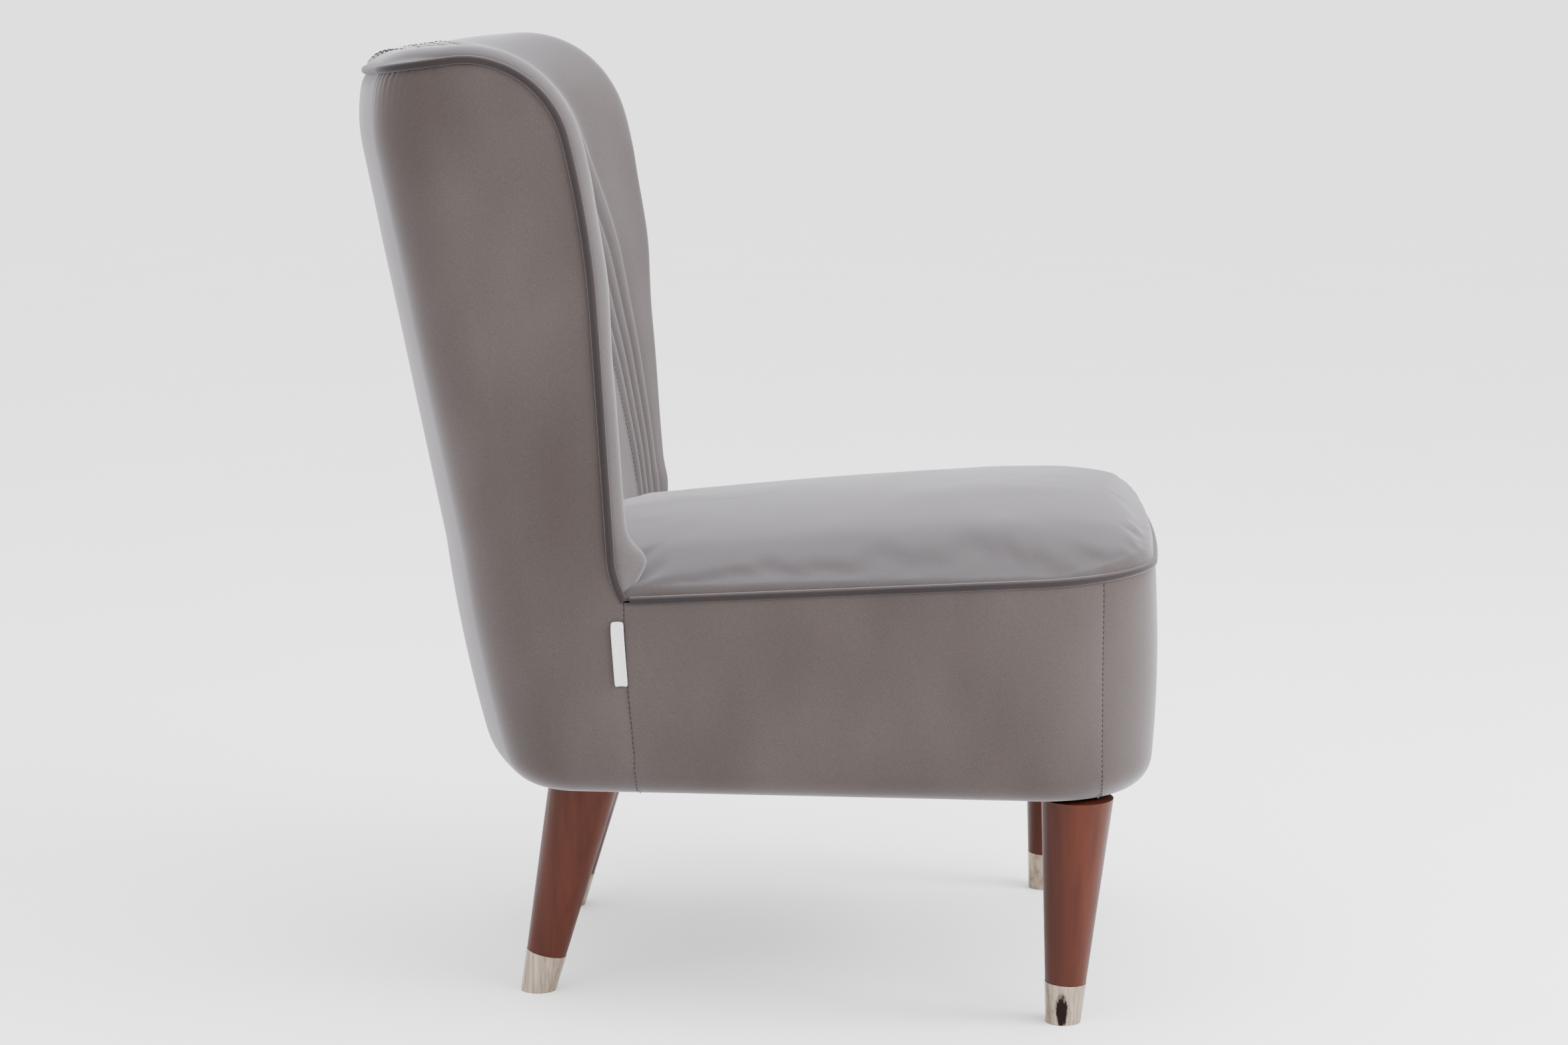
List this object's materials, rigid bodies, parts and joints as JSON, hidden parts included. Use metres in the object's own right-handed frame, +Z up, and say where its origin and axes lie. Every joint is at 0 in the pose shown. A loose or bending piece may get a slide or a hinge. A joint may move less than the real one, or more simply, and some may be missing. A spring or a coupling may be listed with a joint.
{
  "type": "armless wing-back accent chair",
  "caption": "Armless upholstered accent chair with a boxed, crowned seat, a reclined winged back with fan folds, self welts and tapered wooden legs in metal ferrules.",
  "frame": {"origin": "on the floor, at the middle of the chair's width and depth", "axes": "+Z up; -Y the way the sitter faces; +X to the sitter's left"},
  "size_m": [0.5774, 0.7378, 0.8698],
  "materials": {
    "velvet": "short-pile velvet",
    "welt": "piped velvet",
    "leg_wood": "satin stained",
    "ferrule": "brushed, pale",
    "frame_wood": "sawn",
    "liner_board": "raw board",
    "zinc_steel": "zinc plated",
    "clip_plastic": "moulded",
    "dust_cloth": "non-woven",
    "felt": "needled",
    "webbing": "woven elastic",
    "foam": "open cell foam",
    "wadding": "polyester fibre",
    "tag": "woven satin tape, blank"
  },
  "bodies": {
    "root": {"back_foam": "foam", "back_lower_rail": "frame_wood", "back_post_left": "frame_wood", "back_post_right": "frame_wood", "back_top_rail": "frame_wood", "back_webbing": "webbing", "back_welt": "welt", "base_padding": "wadding", "dust_cover": "dust_cloth", "dust_cover_staples": "zinc_steel", "frame_dowels": "frame_wood", "front_band_cover": "velvet", "front_corner_block_left": "frame_wood", "front_corner_block_right": "frame_wood", "front_ferrule_left": "ferrule", "front_ferrule_right": "ferrule", "front_leg_left": "leg_wood", "front_leg_right": "leg_wood", "front_rail": "frame_wood", "inside_back_cover": "velvet", "leg_board_screws": "zinc_steel", "leg_bolts": "zinc_steel", "leg_tnuts": "zinc_steel", "outer_back_cover": "velvet", "outer_back_liner": "liner_board", "outer_back_padding": "wadding", "rear_ferrule_left": "ferrule", "rear_ferrule_right": "ferrule", "rear_leg_board": "frame_wood", "rear_leg_left": "leg_wood", "rear_leg_right": "leg_wood", "rear_rail": "frame_wood", "rim_padding": "foam", "seam_tag": "tag", "seat_foam": "foam", "seat_platform": "felt", "seat_springs": "zinc_steel", "seat_top_cover": "velvet", "seat_wadding": "wadding", "seat_welt": "welt", "side_cover_left": "velvet", "side_cover_right": "velvet", "side_rail_left": "frame_wood", "side_rail_right": "frame_wood", "spring_clips": "clip_plastic", "wing_panel_left": "frame_wood", "wing_panel_right": "frame_wood", "wing_panel_screws": "zinc_steel"}
  },
  "joints": []
}
